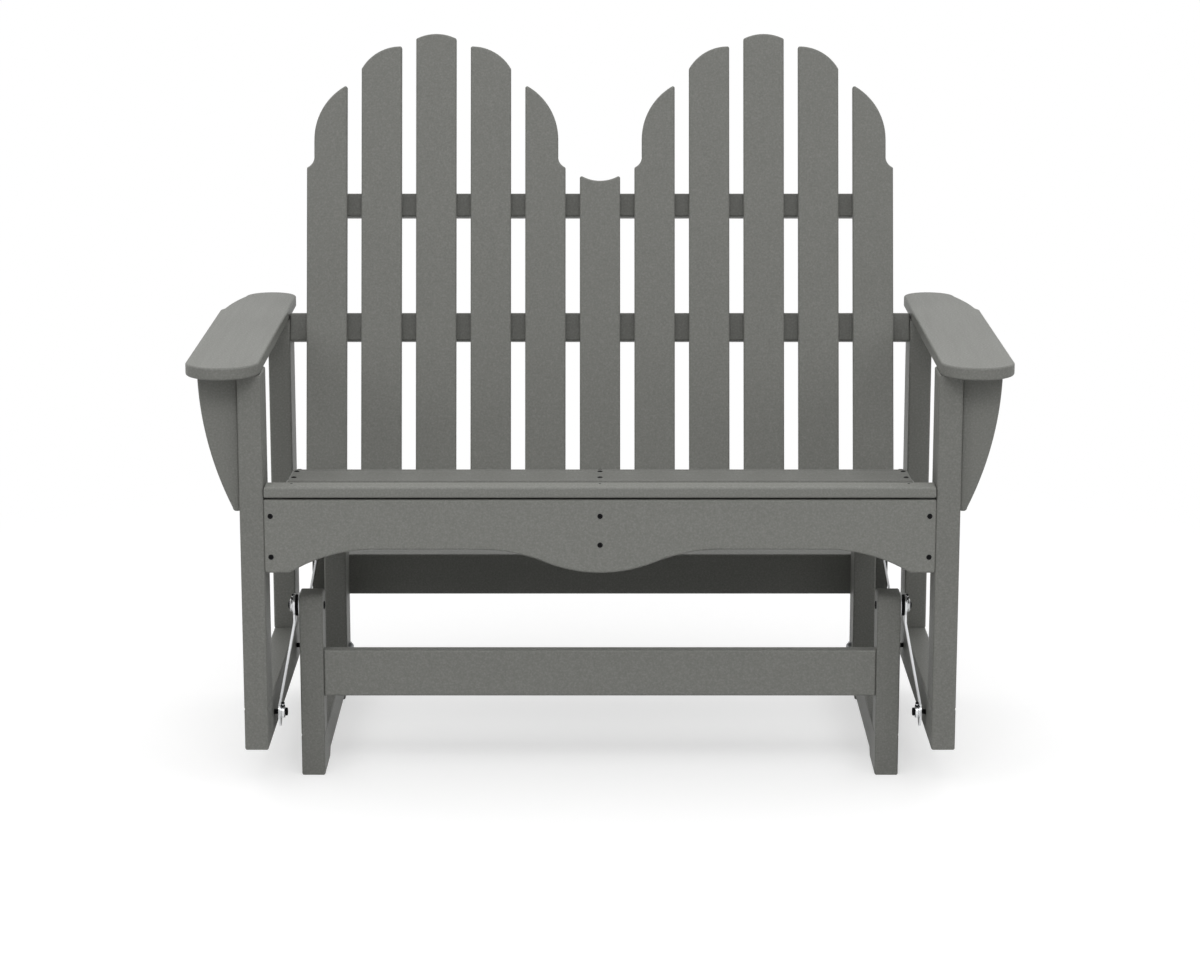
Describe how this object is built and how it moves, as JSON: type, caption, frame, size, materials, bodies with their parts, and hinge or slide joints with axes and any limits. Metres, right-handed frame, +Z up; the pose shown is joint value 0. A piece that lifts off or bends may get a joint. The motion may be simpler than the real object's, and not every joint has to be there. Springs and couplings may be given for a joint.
{
  "type": "glider bench",
  "caption": "Two-seat glider bench with a slatted double-fan back, shaped arms and an arched apron, hung on four steel links from a low base.",
  "frame": {"origin": "on the floor, at the middle of the bench's width and midway between the arms' front tips and rear tails", "axes": "+Z up, +Y towards the back, +X to the right of a viewer who stands in front"},
  "size_m": [1.194, 0.676, 1.0619],
  "materials": {
    "lumber": "matte, finely pebbled",
    "link_steel": "brushed",
    "black_hardware": "satin black coating",
    "grey_caps": "dull zinc"
  },
  "bodies": {
    "base": {"base_runner_left": "lumber", "base_runner_right": "lumber", "front_post_left": "lumber", "front_post_right": "lumber", "rear_post_left": "lumber", "rear_post_right": "lumber", "front_stretcher": "lumber", "rear_stretcher": "lumber", "upper_pivot_bolts": "black_hardware", "upper_pivot_nuts": "black_hardware", "upper_pivot_spacers": "black_hardware", "rear_post_cap_nuts": "grey_caps"},
    "link_front_left": {"hanger_strap_front_left": "link_steel", "link_bearings_front_left": "link_steel"},
    "link_front_right": {"hanger_strap_front_right": "link_steel", "link_bearings_front_right": "link_steel"},
    "link_rear_left": {"hanger_strap_rear_left": "link_steel", "link_bearings_rear_left": "link_steel"},
    "link_rear_right": {"hanger_strap_rear_right": "link_steel", "link_bearings_rear_right": "link_steel"},
    "seat": {"apron_screws": "black_hardware", "arm_bracket_left": "lumber", "arm_bracket_right": "lumber", "arm_left": "lumber", "arm_right": "lumber", "back_slat_1": "lumber", "back_slat_10": "lumber", "back_slat_11": "lumber", "back_slat_2": "lumber", "back_slat_3": "lumber", "back_slat_4": "lumber", "back_slat_5": "lumber", "back_slat_6": "lumber", "back_slat_7": "lumber", "back_slat_8": "lumber", "back_slat_9": "lumber", "bottom_back_rail": "lumber", "front_apron": "lumber", "front_cleats": "lumber", "front_leg_left": "lumber", "front_leg_right": "lumber", "lower_back_rail": "lumber", "lower_pivot_bolts": "black_hardware", "lower_pivot_nuts": "black_hardware", "lower_pivot_spacers": "black_hardware", "rear_cleats": "lumber", "rear_leg_left": "lumber", "rear_leg_right": "lumber", "seat_runner_left": "lumber", "seat_runner_right": "lumber", "seat_screws": "black_hardware", "seat_slat_1": "lumber", "seat_slat_2": "lumber", "seat_slat_3": "lumber", "seat_slat_4": "lumber", "seat_slat_5": "lumber", "seat_stringer_centre": "lumber", "seat_stringer_left": "lumber", "seat_stringer_right": "lumber", "upper_back_rail": "lumber"}
  },
  "joints": [
    {"name": "swing", "type": "hinge", "parent": "base", "child": "link_front_left", "pos_m": [-0.4545, -0.204, 0.256], "axis": [1, 0, 0], "range_deg": [-16, 16]},
    {"name": "swing_front_right", "type": "hinge", "parent": "base", "child": "link_front_right", "pos_m": [0.4545, -0.204, 0.256], "axis": [1, 0, 0], "range_deg": [-16, 16]},
    {"name": "swing_rear_left", "type": "hinge", "parent": "base", "child": "link_rear_left", "pos_m": [-0.4545, 0.172, 0.256], "axis": [1, 0, 0], "range_deg": [-16, 16]},
    {"name": "swing_rear_right", "type": "hinge", "parent": "base", "child": "link_rear_right", "pos_m": [0.4545, 0.172, 0.256], "axis": [1, 0, 0], "range_deg": [-16, 16]},
    {"name": "seat_hang", "type": "hinge", "parent": "link_front_left", "child": "seat", "pos_m": [-0.479, -0.204, 0.091], "axis": [1, 0, 0], "range_deg": [-16, 16]}
  ],
  "couplings": [
    {"joint": "swing_front_right", "follows": "swing", "ratio": 1},
    {"joint": "swing_rear_left", "follows": "swing", "ratio": 1},
    {"joint": "swing_rear_right", "follows": "swing", "ratio": 1},
    {"joint": "seat_hang", "follows": "swing", "ratio": -1}
  ]
}
